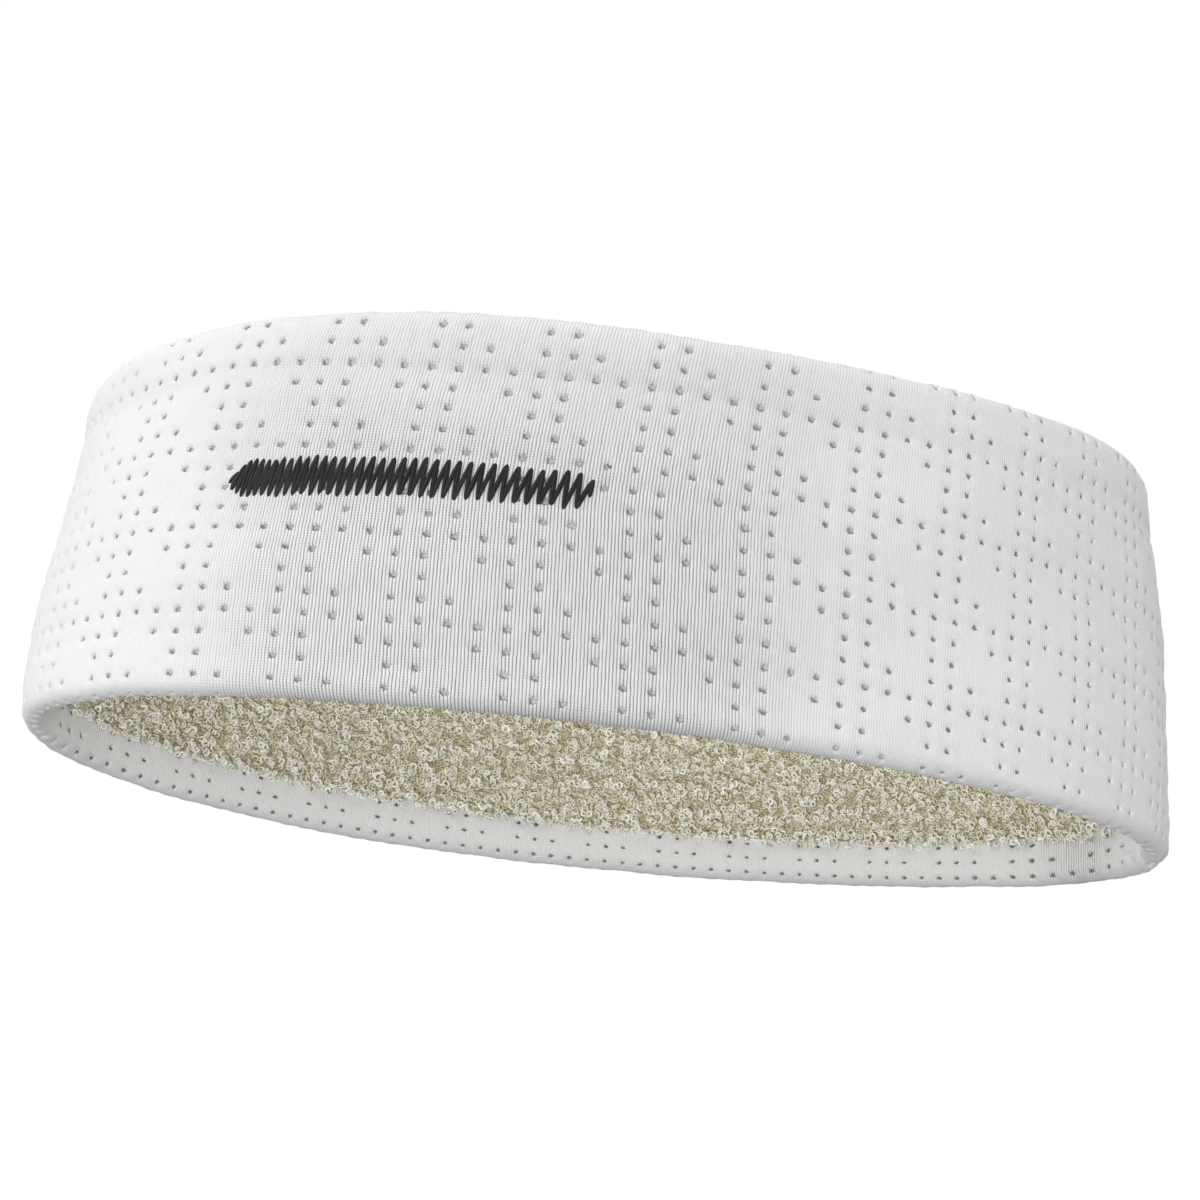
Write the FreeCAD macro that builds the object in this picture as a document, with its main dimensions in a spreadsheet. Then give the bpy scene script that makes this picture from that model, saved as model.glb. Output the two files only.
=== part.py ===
import FreeCAD, Part
import os

import Sketcher

# A pull-on sports headband standing on its lower rim, the way it stands on a table.
#
# The band is a loop whose cross-section across the head is an ellipse. The loop is longer and
# narrower at the lower rim than at the upper one, and the perimeter is nearly the same at both.
# +Z runs up the head's axis, X along the loop's long way, and the front wall faces -Y.
# The origin is the centre of the lower rim, on the table. All sizes are in millimetres.
#
# Through the wall, from the outer face inwards: perforated knit, embroidery backing and bobbin
# thread behind the motif, the terry lining's ground cloth, and the lining's loop pile. The knit
# is turned in at both rims and comes back as a hem, to whose edge the lining is sewn.

OUTPUT_FOLDER = "parts"

# Each row is an alias, its value and what it means.
DIMENSIONS = [
    ("band_height", "68.6", "from rim to rim"),
    ("lower_half_length", "110", "outer face at the lower rim, along X"),
    ("lower_half_depth", "48.75", "outer face at the lower rim, along Y"),
    ("upper_half_length", "102.8", "outer face at the upper rim, along X"),
    ("upper_half_depth", "63.4", "outer face at the upper rim, along Y"),
    ("knit", "0.9", "thickness of the perforated knit"),
    ("rim_depth", "4.6", "outer face to the hem's inner face"),
    ("rim_land", "0.8", "flat part of a rim between its two rounded edges"),
    ("hem_height", "9.5", "from a rim to the hem's sewn edge"),
    ("sewn_gap", "0.2", "between the hem's edge and the lining's edge"),
    ("lining_back", "1.9", "outer face to the back of the lining"),
    ("lining_front", "6.2", "outer face to the tips of the lining's pile"),
    ("stitch_width", "0.9", "across a line of joining stitches"),
    ("stitch_rise", "1.4", "height of a line of joining stitches"),
    ("stitch_depth", "2.5", "outer face to the outside of the joining stitches"),
    ("closing_width", "3.5", "width of a closing seam's overlocked edge"),
    ("closing_side", "1.2", "from the loop's end to the near side of a closing seam"),
    ("closing_thread", "0.45", "thickness of a closing seam's thread"),
    ("thread_clearance", "0.1", "between a line of thread and the cloth beside it"),
    ("motif_length", "66", "the embroidered bar, along the band"),
    ("motif_rise", "8", "the embroidered bar, up the band"),
    ("motif_side", "-38", "centre of the bar, along X"),
    ("motif_up", "39", "centre of the bar above the lower rim"),
    ("motif_proud", "0.6", "how far the top thread stands off the knit"),
    ("backing_margin", "4", "how far the backing reaches past the bar"),
    ("backing_sheet", "0.3", "thickness of the backing"),
    ("bobbin_thread", "0.3", "thickness of the bobbin thread"),
]

FIRST_ROW = 1
MAJOR_AXIS_LINE = 1
MINOR_AXIS_LINE = 2
PATCH_REACH = 200
LEVEL_TOLERANCE = 1e-6


def make_sheet(doc):
    """The spreadsheet of driving dimensions."""
    sheet = doc.addObject("Spreadsheet::Sheet", "dims")
    for row, (alias, value, meaning) in enumerate(DIMENSIONS, FIRST_ROW):
        sheet.set("A%d" % row, alias)
        sheet.set("B%d" % row, value)
        sheet.set("C%d" % row, meaning)
        sheet.setAlias("B%d" % row, alias)
    doc.recompute()
    return sheet


def origin_plane(body, role):
    """One of a body's own origin planes, by its role."""
    return next(f for f in body.Origin.OriginFeatures if f.Role == role)


def half_axis(way, height, offset):
    """The half length or half depth of the loop at a height, set in from the outer face."""
    lower = "dims.lower_half_%s" % way
    upper = "dims.upper_half_%s" % way
    return "(%s + (%s - %s) * (%s) / dims.band_height - (%s))" % (
        lower,
        upper,
        lower,
        height,
        offset,
    )


def ellipse_sketch(body, name, height, offset):
    """The loop's ellipse at a height, as a sketch in a plane parallel to the lower rim."""
    sketch = body.newObject("Sketcher::SketchObject", name)
    sketch.AttachmentSupport = [(origin_plane(body, "XY_Plane"), "")]
    sketch.MapMode = "FlatFace"
    sketch.setExpression("AttachmentOffset.Base.z", "(%s) * 1mm" % height)
    major, minor = FreeCAD.Vector(105, 0, 0), FreeCAD.Vector(0, 55, 0)
    ellipse = sketch.addGeometry(Part.Ellipse(major, minor, FreeCAD.Vector()), False)
    sketch.exposeInternalGeometry(ellipse)
    sketch.addConstraint(Sketcher.Constraint("Coincident", ellipse, 3, -1, 1))
    sketch.addConstraint(Sketcher.Constraint("Horizontal", MAJOR_AXIS_LINE))
    for line, way, size in (
        (MAJOR_AXIS_LINE, "length", 210),
        (MINOR_AXIS_LINE, "depth", 110),
    ):
        constraint = sketch.addConstraint(Sketcher.Constraint("Distance", line, size))
        full = "2mm * %s" % half_axis(way, height, offset)
        sketch.setExpression("Constraints[%d]" % constraint, full)
    return sketch


def loft_between(body, kind, name, low, high, offset):
    """A straight-sided loft between the loop's ellipses at two heights."""
    loft = body.newObject(kind, name)
    loft.Profile = ellipse_sketch(body, name + "_low", low, offset)
    loft.Sections = [ellipse_sketch(body, name + "_high", high, offset)]
    loft.Ruled = True
    body.Document.recompute()
    return loft


def ring(doc, label, low, high, outer, inner):
    """A ring that follows the loop, between two heights and two offsets from the outer face."""
    body = doc.addObject("PartDesign::Body", label)
    body.Label = label
    loft_between(body, "PartDesign::AdditiveLoft", label + "_solid", low, high, outer)
    whole = body.Shape.Volume
    loft_between(body, "PartDesign::SubtractiveLoft", label + "_hole", low, high, inner)
    if body.Shape.Volume >= whole:
        raise RuntimeError("%s: its hole cut nothing" % label)
    return body


def level_edges(shape):
    """The names of a shape's edges that lie level, which are its rims."""
    return [
        "Edge%d" % number
        for number, edge in enumerate(shape.Edges, 1)
        if edge.BoundBox.ZLength < LEVEL_TOLERANCE
    ]


def round_rims(body, name, radius):
    """Rounds every level edge of a body."""
    base = body.Tip
    rounded = body.newObject("PartDesign::Fillet", name)
    rounded.Base = (base, level_edges(base.Shape))
    rounded.setExpression("Radius", "(%s) * 1mm" % radius)
    body.Tip = rounded
    body.Document.recompute()


def outer_shell(doc):
    """The perforated knit: an outer wall turned in at both rims, with a hem behind each."""
    rim_radius = "(dims.rim_depth - dims.rim_land) / 2"
    shell = ring(doc, "outer_shell", "0", "dims.band_height", "0", "dims.rim_depth")
    round_rims(shell, "outer_rims", rim_radius)
    solid_volume = shell.Shape.Volume

    hollow = ring(
        doc,
        "shell_hollow",
        "dims.knit",
        "dims.band_height - dims.knit",
        "dims.knit",
        "dims.rim_depth - dims.knit",
    )
    round_rims(hollow, "hollow_rims", "%s - dims.knit" % rim_radius)
    window = ring(
        doc,
        "shell_window",
        "dims.hem_height",
        "dims.band_height - dims.hem_height",
        "dims.rim_depth - 1.5 * dims.knit",
        "dims.rim_depth + dims.knit",
    )
    cut = shell.newObject("PartDesign::Boolean", "shell_opened")
    cut.Type = "Cut"
    cut.setObjects([hollow, window])
    shell.Tip = cut
    doc.recompute()
    if shell.Shape.Volume > 0.5 * solid_volume:
        raise RuntimeError("the shell's hollow cut too little")
    return shell


def terry_lining(doc):
    """The absorbent strip between the two hems, from its ground cloth to the pile's tips."""
    edge = "(dims.hem_height + dims.sewn_gap)"
    return ring(
        doc,
        "terry_lining",
        edge,
        "dims.band_height - %s" % edge,
        "dims.lining_back",
        "dims.lining_front",
    )


def joining_seams(doc):
    """The two lines of stitches, behind the hems, that join the lining's edges to them."""
    top_of_lower = "(dims.hem_height - dims.thread_clearance)"
    low_of_lower = "(%s - dims.stitch_rise)" % top_of_lower
    inner = "dims.stitch_depth + dims.stitch_width"
    heights = {
        "lower_joining_seam": (low_of_lower, top_of_lower),
        "upper_joining_seam": (
            "dims.band_height - %s" % top_of_lower,
            "dims.band_height - %s" % low_of_lower,
        ),
    }
    return [
        ring(doc, label, low, high, "dims.stitch_depth", inner)
        for label, (low, high) in heights.items()
    ]


def patch(doc, label, layer, block):
    """The part of a ring that lies inside a block."""
    common = doc.addObject("Part::Common", label)
    common.Label = label
    common.Base = layer
    common.Tool = block
    doc.recompute()
    return common


def closing_block(doc, name, side, low, high):
    """A box over one stretch of the loop's +X end, on the side of the end that side gives."""
    box = doc.addObject("Part::Box", name)
    box.setExpression("Length", "%dmm" % PATCH_REACH)
    box.setExpression("Width", "dims.closing_width * 1mm")
    box.setExpression("Height", "(%s - (%s)) * 1mm" % (high, low))
    box.setExpression("Placement.Base.z", "(%s) * 1mm" % low)
    start = "dims.closing_side" if side > 0 else "-dims.closing_side - dims.closing_width"
    box.setExpression("Placement.Base.y", "(%s) * 1mm" % start)
    return box


def closing_seams(doc):
    """The two short seams that close the knit strip and the lining strip into loops."""
    shell_low = "dims.hem_height"
    shell_high = "dims.band_height - dims.hem_height"
    shell_outer = "dims.knit + dims.thread_clearance"
    shell_layer = ring(
        doc,
        "shell_closing_layer",
        shell_low,
        shell_high,
        shell_outer,
        "%s + dims.closing_thread" % shell_outer,
    )
    shell_block = closing_block(doc, "shell_closing_block", 1, shell_low, shell_high)

    lining_low = "dims.hem_height + dims.stitch_rise"
    lining_high = "dims.band_height - dims.hem_height - dims.stitch_rise"
    lining_inner = "dims.lining_back - dims.thread_clearance"
    lining_layer = ring(
        doc,
        "lining_closing_layer",
        lining_low,
        lining_high,
        "%s - dims.closing_thread" % lining_inner,
        lining_inner,
    )
    lining_block = closing_block(doc, "lining_closing_block", -1, lining_low, lining_high)
    return [
        patch(doc, "shell_closing_seam", shell_layer, shell_block),
        patch(doc, "lining_closing_seam", lining_layer, lining_block),
    ]


def rounded_bar(doc, name):
    """A bar with half-round ends, drawn on the XZ plane and run out through the front wall."""
    sketch = doc.addObject("Sketcher::SketchObject", name + "_outline")
    sketch.Placement = FreeCAD.Placement(
        FreeCAD.Vector(), FreeCAD.Rotation(FreeCAD.Vector(1, 0, 0), 90)
    )
    up = FreeCAD.Vector(0, 0, 1)
    left, right = FreeCAD.Vector(-60, 39, 0), FreeCAD.Vector(-15, 39, 0)
    radius = 5
    rise = FreeCAD.Vector(0, radius, 0)
    left_end = Part.ArcOfCircle(Part.Circle(left, up, radius), 1.5708, 4.7124)
    right_end = Part.ArcOfCircle(Part.Circle(right, up, radius), -1.5708, 1.5708)
    lower = Part.LineSegment(left - rise, right - rise)
    upper = Part.LineSegment(right + rise, left + rise)
    for piece in (left_end, lower, right_end, upper):
        sketch.addGeometry(piece, False)
    joints = ((0, 2, 1, 1), (1, 2, 2, 1), (2, 2, 3, 1), (3, 2, 0, 1))
    for first, end, second, start in joints:
        sketch.addConstraint(Sketcher.Constraint("Tangent", first, end, second, start))
    for straight in (1, 3):
        sketch.addConstraint(Sketcher.Constraint("Horizontal", straight))
    middles = "(dims.motif_length - dims.motif_rise)"
    sizes = (
        (("Radius", 0, 5.0), "dims.motif_rise / 2 * 1mm"),
        (("DistanceX", 1, 1, 1, 2, 45.0), "%s * 1mm" % middles),
        (
            ("DistanceX", -1, 1, 2, 3, -15.0),
            "(dims.motif_side + %s / 2) * 1mm" % middles,
        ),
        (("DistanceY", -1, 1, 2, 3, 39.0), "dims.motif_up * 1mm"),
    )
    for constraint, size in sizes:
        number = sketch.addConstraint(Sketcher.Constraint(*constraint))
        sketch.setExpression("Constraints[%d]" % number, size)

    block = doc.addObject("Part::Extrusion", name + "_block")
    block.Base = sketch
    block.DirMode = "Normal"
    block.setExpression("LengthFwd", "%dmm" % PATCH_REACH)
    block.Solid = True
    doc.recompute()
    return block


def backing_block(doc, name):
    """A box through the front wall, as wide and as high as the oblong backing."""
    length = "(dims.motif_length + 2 * dims.backing_margin)"
    rise = "(dims.motif_rise + 2 * dims.backing_margin)"
    box = doc.addObject("Part::Box", name + "_block")
    box.setExpression("Length", "%s * 1mm" % length)
    box.setExpression("Width", "%dmm" % PATCH_REACH)
    box.setExpression("Height", "%s * 1mm" % rise)
    box.setExpression("Placement.Base.x", "(dims.motif_side - %s / 2) * 1mm" % length)
    box.setExpression("Placement.Base.y", "-%dmm" % PATCH_REACH)
    box.setExpression("Placement.Base.z", "(dims.motif_up - %s / 2) * 1mm" % rise)
    return box


def embroidery(doc):
    """The embroidered bar's three layers: top thread, backing and bobbin thread."""
    backing_outer = "dims.knit + dims.thread_clearance"
    bobbin_outer = "%s + dims.backing_sheet + dims.thread_clearance" % backing_outer
    layers = {
        "embroidered_bar": (
            rounded_bar,
            "-dims.motif_proud - dims.thread_clearance",
            "-dims.thread_clearance",
        ),
        "embroidery_backing": (
            backing_block,
            backing_outer,
            "%s + dims.backing_sheet" % backing_outer,
        ),
        "embroidery_bobbin_thread": (
            rounded_bar,
            bobbin_outer,
            "%s + dims.bobbin_thread" % bobbin_outer,
        ),
    }
    low = "dims.hem_height"
    high = "dims.band_height - dims.hem_height"
    patches = []
    for label, (make_block, outer, inner) in layers.items():
        layer = ring(doc, label + "_layer", low, high, outer, inner)
        block = make_block(doc, label)
        patches.append(patch(doc, label, layer, block))
    return patches


def check_document(doc):
    """Stops if any object of the document failed to recompute."""
    for item in doc.Objects:
        if "Invalid" in item.State or "Error" in item.State:
            raise RuntimeError("%s is %s" % (item.Label, item.State))


def check_piece(piece):
    """Stops unless a sub-part is one valid solid."""
    shape = piece.Shape
    if shape.isNull() or not shape.isValid() or len(shape.Solids) != 1:
        raise RuntimeError("%s is not one valid solid" % piece.Label)


def main():
    doc = FreeCAD.newDocument("SportsHeadband")
    make_sheet(doc)
    pieces = [outer_shell(doc), terry_lining(doc)]
    pieces += joining_seams(doc)
    pieces += closing_seams(doc)
    pieces += embroidery(doc)
    doc.recompute()
    check_document(doc)
    for piece in pieces:
        check_piece(piece)

    os.makedirs(OUTPUT_FOLDER, exist_ok=True)
    for piece in pieces:
        shape = piece.Shape
        box = shape.optimalBoundingBox(False)
        shape.exportStep(os.path.join(OUTPUT_FOLDER, piece.Label + ".step"))
        size = (box.XLength, box.YLength, box.ZLength)
        print("%-26s %8.1f mm3  %6.1f x %6.1f x %5.1f" % (piece.Label, shape.Volume, *size))


main()
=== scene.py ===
import math

import bpy
import numpy as np
from mathutils import Matrix, Vector


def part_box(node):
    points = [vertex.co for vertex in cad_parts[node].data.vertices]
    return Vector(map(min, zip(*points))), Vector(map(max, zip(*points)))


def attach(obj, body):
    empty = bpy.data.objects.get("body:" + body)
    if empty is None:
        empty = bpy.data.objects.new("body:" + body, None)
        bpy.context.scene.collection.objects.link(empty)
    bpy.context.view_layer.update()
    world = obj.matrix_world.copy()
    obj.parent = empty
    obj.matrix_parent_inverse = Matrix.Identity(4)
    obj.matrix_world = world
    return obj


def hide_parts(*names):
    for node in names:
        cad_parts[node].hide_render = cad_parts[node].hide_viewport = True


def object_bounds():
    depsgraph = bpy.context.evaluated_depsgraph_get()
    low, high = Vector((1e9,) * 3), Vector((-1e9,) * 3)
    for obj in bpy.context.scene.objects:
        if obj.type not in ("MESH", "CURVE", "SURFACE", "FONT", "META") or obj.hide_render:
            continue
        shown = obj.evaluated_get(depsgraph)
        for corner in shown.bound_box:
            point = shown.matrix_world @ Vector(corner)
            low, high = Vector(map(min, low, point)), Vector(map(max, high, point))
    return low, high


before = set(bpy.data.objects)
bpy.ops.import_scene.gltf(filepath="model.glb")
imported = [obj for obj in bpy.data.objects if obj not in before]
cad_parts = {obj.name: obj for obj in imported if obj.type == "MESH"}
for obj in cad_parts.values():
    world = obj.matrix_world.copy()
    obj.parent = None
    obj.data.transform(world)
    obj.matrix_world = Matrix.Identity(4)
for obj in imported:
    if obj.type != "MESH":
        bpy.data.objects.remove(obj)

# A pull-on sports headband: a loop of perforated ribbed knit whose rims are turned in as hems,
# a loop-pile terry lining sewn between the hems, and a bar of zigzag embroidery on the front.
#
# Two coordinates follow the cloth. Along the loop, "place" is the distance from the middle of
# the front wall towards +X, measured at half height. Across the band, "run" is the distance
# over the cloth from the lowest line of the lower rim: up the outer wall, over the upper rim
# and down the upper hem, or, below zero, up the lower hem behind the wall.
# "Inset" is a depth from the outer face towards the head. Lengths are in metres.

MM = 0.001
SEED = 20
rng = np.random.default_rng(SEED)

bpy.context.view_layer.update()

# --- the loop, from the CAD pieces

RIM_DEPTH = 4.6 * MM
RIM_RADIUS = RIM_DEPTH / 2
HEM_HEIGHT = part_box("terry_lining")[0].z
BAND_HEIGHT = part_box("outer_shell")[1].z
LINING_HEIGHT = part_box("terry_lining")[1].z - HEM_HEIGHT


def half_axes(node, height, tolerance=0.4 * MM):
    """Half length and half depth of a node's outline near a height."""
    points = np.array([v.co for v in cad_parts[node].data.vertices])
    level = points[abs(points[:, 2] - height) < tolerance]
    return abs(level[:, 0]).max(), abs(level[:, 1]).max()


LOW_MEASURE = 2 * MM
HIGH_MEASURE = BAND_HEIGHT - LOW_MEASURE
LOW_AXES = half_axes("outer_shell", LOW_MEASURE)
HIGH_AXES = half_axes("outer_shell", HIGH_MEASURE)

# How the soft cloth departs from the plain shape: its ends belly out between drawn-in rims,
# its upper half is fuller front to back, and it leans a little towards -X.
END_TUCK = 1.7 * MM
END_BELLY = 1.8 * MM
UPPER_FULLNESS = 2.6 * MM
LEAN_LOW = 0.9 * MM
LEAN_HIGH = -1.3 * MM

# Rise and fall of each rim round the loop: waves to a turn, and the cosine's and the sine's
# height in millimetres.
UPPER_RIM_WAVES = ((1, 0.9, -0.9), (2, 1.3, -0.75), (3, 1.5, 0))
LOWER_RIM_WAVES = ((1, -0.5, -0.5), (2, 0.5, 0.6), (3, -0.4, 0))


def axes_at(height):
    """Half length and half depth of the outer face at a height."""
    share = (height - LOW_MEASURE) / (HIGH_MEASURE - LOW_MEASURE)
    length, depth = [low + (high - low) * share for low, high in zip(LOW_AXES, HIGH_AXES)]
    up = height / BAND_HEIGHT
    length = length - END_TUCK + END_BELLY * 4 * up * (1 - up)
    return length, depth + UPPER_FULLNESS * up


def rim_rise(waves, angle):
    """How much a rim rises at an angle round the loop."""
    return MM * sum(c * np.cos(n * angle) + s * np.sin(n * angle) for n, c, s in waves)


TURNS = np.linspace(-math.pi / 2, 1.5 * math.pi, 8001)


def place_table():
    """The distance along the loop at half height for each angle in TURNS."""
    length, depth = axes_at(BAND_HEIGHT / 2)
    points = np.stack([length * np.cos(TURNS), depth * np.sin(TURNS)], axis=-1)
    steps = np.linalg.norm(np.diff(points, axis=0), axis=1)
    return np.concatenate([[0.0], np.cumsum(steps)])


PLACES = place_table()
PERIMETER = PLACES[-1]


def on_loop(place, height, inset):
    """Points of the band at a place, height and inset."""
    angle = np.interp(np.mod(place, PERIMETER), PLACES, TURNS)
    length, depth = axes_at(height)
    cosine, sine = np.cos(angle), np.sin(angle)
    across, along = depth * cosine, length * sine
    size = np.hypot(across, along)
    up = height / BAND_HEIGHT
    x = length * cosine - inset * across / size + LEAN_LOW * (1 - up) + LEAN_HIGH * up
    y = depth * sine - inset * along / size
    rise = rim_rise(LOWER_RIM_WAVES, angle) * (1 - up) + rim_rise(UPPER_RIM_WAVES, angle) * up
    return np.stack([x, y, height + rise], axis=-1)


def centred(place):
    """A place as a signed distance from the middle of the front wall."""
    return np.mod(place + PERIMETER / 2, PERIMETER) - PERIMETER / 2


# --- the cloth's path over the rims

QUARTER_TURN = math.pi / 2 * RIM_RADIUS
WALL_END = QUARTER_TURN + BAND_HEIGHT - 2 * RIM_RADIUS
LOWER_EDGE = -(QUARTER_TURN + HEM_HEIGHT - RIM_RADIUS)
UPPER_EDGE = WALL_END + 2 * QUARTER_TURN + HEM_HEIGHT - RIM_RADIUS


def wall_run(height):
    """The run at a height of the outer wall."""
    return QUARTER_TURN - RIM_RADIUS + height


def cloth_path(run):
    """Height, inset and the outward direction (height, inset) of the knit at each run."""
    lower_turn = np.clip(run / RIM_RADIUS, -math.pi / 2, math.pi / 2)
    upper_turn = np.clip((run - WALL_END) / RIM_RADIUS, 0, math.pi)
    lower_hem = np.maximum(-run - QUARTER_TURN, 0)
    wall = np.clip(run, QUARTER_TURN, WALL_END) - QUARTER_TURN
    upper_hem = np.maximum(run - WALL_END - 2 * QUARTER_TURN, 0)
    height = RIM_RADIUS * (1 - np.cos(lower_turn) + np.sin(upper_turn))
    height = height + lower_hem + wall - upper_hem
    inset = RIM_RADIUS * (2 - np.sin(lower_turn) - np.cos(upper_turn))
    up = np.sin(upper_turn) - np.cos(lower_turn)
    out = 1 - np.sin(lower_turn) - np.cos(upper_turn)
    return height, inset, up, out


def smooth_step(value):
    """0 below 0, 1 above 1, and a smooth rise between."""
    value = np.clip(value, 0, 1)
    return value * value * (3 - 2 * value)


def bump_shape(distance, width):
    """A smooth bump of height 1 that falls away over a width."""
    return np.exp(-((distance / width) ** 2))


class Waves:
    """A smooth random surface over the cloth: a sum of seeded waves that close round the loop.
    The smaller the spread, the more its ridges run along the loop."""

    def __init__(self, count, longest, shortest, spread=math.pi / 2):
        lengths = np.exp(rng.uniform(math.log(shortest), math.log(longest), count))
        ways = math.pi / 2 + rng.uniform(-spread, spread, count)
        turns = np.round(PERIMETER / lengths * np.cos(ways))
        self.along = 2 * math.pi * turns / PERIMETER
        self.across = 2 * math.pi / lengths * np.sin(ways)
        self.phase = rng.uniform(0, 2 * math.pi, count)
        self.weight = lengths / longest
        self.weight /= np.linalg.norm(self.weight)

    def at(self, place, run):
        total = np.zeros(np.broadcast(place, run).shape)
        waves = zip(self.along, self.across, self.phase, self.weight)
        for along, across, phase, weight in waves:
            total += weight * np.sin(along * place + across * run + phase)
        return total * math.sqrt(2)


# --- the embroidered bar's place

BAR_LOW, BAR_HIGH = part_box("embroidered_bar")
BAR_HEIGHT = (BAR_LOW.z + BAR_HIGH.z) / 2
BAR_RISE = BAR_HIGH.z - BAR_LOW.z


def front_place(x, height):
    """The place on the front wall whose outer face has this x at this height."""
    places = np.linspace(-PERIMETER / 4, PERIMETER / 4, 2001)
    xs = on_loop(places, height, 0)[:, 0]
    return float(np.interp(x, xs, places))


BAR_PLACES = [front_place(x, BAR_HEIGHT) for x in (BAR_LOW.x, BAR_HIGH.x)]
BAR_RUN = wall_run(BAR_HEIGHT)

# Both closing seams are at the +X end, just to either side of it.
SEAM_ASIDE = 3 * MM
SEAM_PLACE = PERIMETER / 4 + SEAM_ASIDE
LINING_SEAM_PLACE = PERIMETER / 4 - SEAM_ASIDE

# --- relief of the knit

SWELLS = Waves(14, 70 * MM, 26 * MM, spread=1.0)
SWELL_RISE = 0.36 * MM
RIPPLES = Waves(22, 20 * MM, 8 * MM, spread=0.7)
RIPPLE_RISE = 0.08 * MM
RIM_CALM = 8 * MM

# The stitching draws the knit in under the bar and throws short creases off its right end.
BAR_DRAW = 0.45 * MM
BAR_DRAW_WIDTHS = (7 * MM, 8 * MM)
CREASE = dict(rise=0.36 * MM, pitch=5.2 * MM, length=24 * MM, width=7 * MM)
CREASE_START = 2 * MM
CREASE_EASE = 5 * MM
CREASE_SLOPE = 0.10

# The wall is fuller over the turned-in hems and steps back where the lining is joined on.
UPPER_LEDGE = 0.6 * MM
LOWER_LEDGE = 0.25 * MM
LEDGE_WIDTH = 2.6 * MM
LEDGE_DIP = 0.4

# The hem's turning throws a few small ridges along the lower right corner.
CORNER_PLACE = 98 * MM
CORNER_RUN = 9 * MM
CORNER_WIDTHS = (26 * MM, 6 * MM)
CORNER_RISE = 0.22 * MM
CORNER_PITCH = 3.8 * MM

# The closing seam pulls a groove from rim to rim, and both sewn edges dip behind the lining.
SEAM_GROOVE = 0.6 * MM
SEAM_GROOVE_WIDTH = 1.5 * MM
EDGE_DIP = 1.2 * MM
EDGE_DIP_WIDTH = 1.1 * MM


def bar_relief(place, run):
    """How the embroidered bar draws the knit in, and the creases off its right end."""
    at = centred(place)
    up = run - BAR_RUN
    middle = (BAR_PLACES[0] + BAR_PLACES[1]) / 2
    half = (BAR_PLACES[1] - BAR_PLACES[0]) / 2
    beyond = np.maximum(abs(at - middle) - half, 0)
    across, over = BAR_DRAW_WIDTHS
    drawn = BAR_DRAW * bump_shape(beyond, across) * bump_shape(up, over)
    past_end = at - BAR_PLACES[1] + CREASE_START
    reach = smooth_step(past_end / CREASE_EASE) * bump_shape(past_end, CREASE["length"])
    wave = np.cos((up + CREASE_SLOPE * past_end) * 2 * math.pi / CREASE["pitch"])
    return CREASE["rise"] * reach * wave * bump_shape(up, CREASE["width"]) - drawn


def hem_relief(place, run):
    """The wall over the two hems, and the ridges at the lower right corner."""
    to_rim = np.minimum(run, WALL_END + QUARTER_TURN - run)
    on_outer_wall = smooth_step(to_rim / QUARTER_TURN)
    lower_join, upper_join = wall_run(HEM_HEIGHT), wall_run(BAND_HEIGHT - HEM_HEIGHT)
    lift = 0
    for ledge, from_join in ((UPPER_LEDGE, run - upper_join), (LOWER_LEDGE, lower_join - run)):
        lift = lift + ledge * smooth_step(from_join / LEDGE_WIDTH + 0.5) * on_outer_wall
        lift = lift - LEDGE_DIP * ledge * bump_shape(from_join, LEDGE_WIDTH)
    across, over = CORNER_WIDTHS
    corner = bump_shape(centred(place) - CORNER_PLACE, across) * bump_shape(run - CORNER_RUN, over)
    return lift + CORNER_RISE * corner * np.cos(2 * math.pi * run / CORNER_PITCH)


def relief(place, run):
    """How far the knit stands out from its plain path."""
    height = run - wall_run(0)
    on_wall = smooth_step(height / RIM_CALM) * smooth_step((BAND_HEIGHT - height) / RIM_CALM)
    lift = SWELLS.at(place, run) * SWELL_RISE * on_wall + RIPPLES.at(place, run) * RIPPLE_RISE
    lift = lift + bar_relief(place, run) + hem_relief(place, run)
    lift -= SEAM_GROOVE * bump_shape(centred(place - SEAM_PLACE), SEAM_GROOVE_WIDTH)
    edge = np.minimum(run - LOWER_EDGE, UPPER_EDGE - run)
    return lift - EDGE_DIP * (1 - smooth_step(edge / EDGE_DIP_WIDTH))


# --- the knit's holes

# Holes lie on a lattice of columns and rows. Row 8 is about halfway up.
COLUMNS = 128
LOWEST_ROW = -4.5
HIGHEST_ROW = 20.5
ROWS = int(HIGHEST_ROW - LOWEST_ROW)
MIDDLE_ROW = 8
HALF_ROWS = 9
ROW_EASE = 0.077
PATTERN = 4
WALES_PER_COLUMN = 8
COURSES_PER_ROW = 8

# From one hole column to the next: the front wall is stretched, the back is not, and the two
# end bends pull a little.
RELAXED_STEP = 3.54 * MM
STRETCHED_STEP = 5.17 * MM
STRETCH_CENTRE = -19.6 * MM
STRETCH_WIDTH = 79.7 * MM
STRETCH_POWER = 3.7
BENDS = ((159 * MM, 1.5 * MM), (-151 * MM, 1.25 * MM))
BEND_WIDTH = 22 * MM
FIRST_COLUMN_PLACE = 27.5 * MM

# The ribs start to open at this distance, and open less in the upper half.
OPENING_STEP = 4.05 * MM
UPPER_EASE = 0.18

# Rows run slightly downhill towards +X on the front wall and sag under the bar.
FRONT_REACH = 165 * MM
FRONT_EASE = 45 * MM
ROW_TILT = 2.9 * MM
ROW_TILT_CENTRE = -75 * MM
ROW_DROP_FRONT = -1.1 * MM
ROW_DROP_BACK = -1.3 * MM
ROW_SAG = 1.0 * MM
SAG_CENTRE = -38 * MM
SAG_WIDTH = 34 * MM
EDGE_ROWS = 2.5

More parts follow.
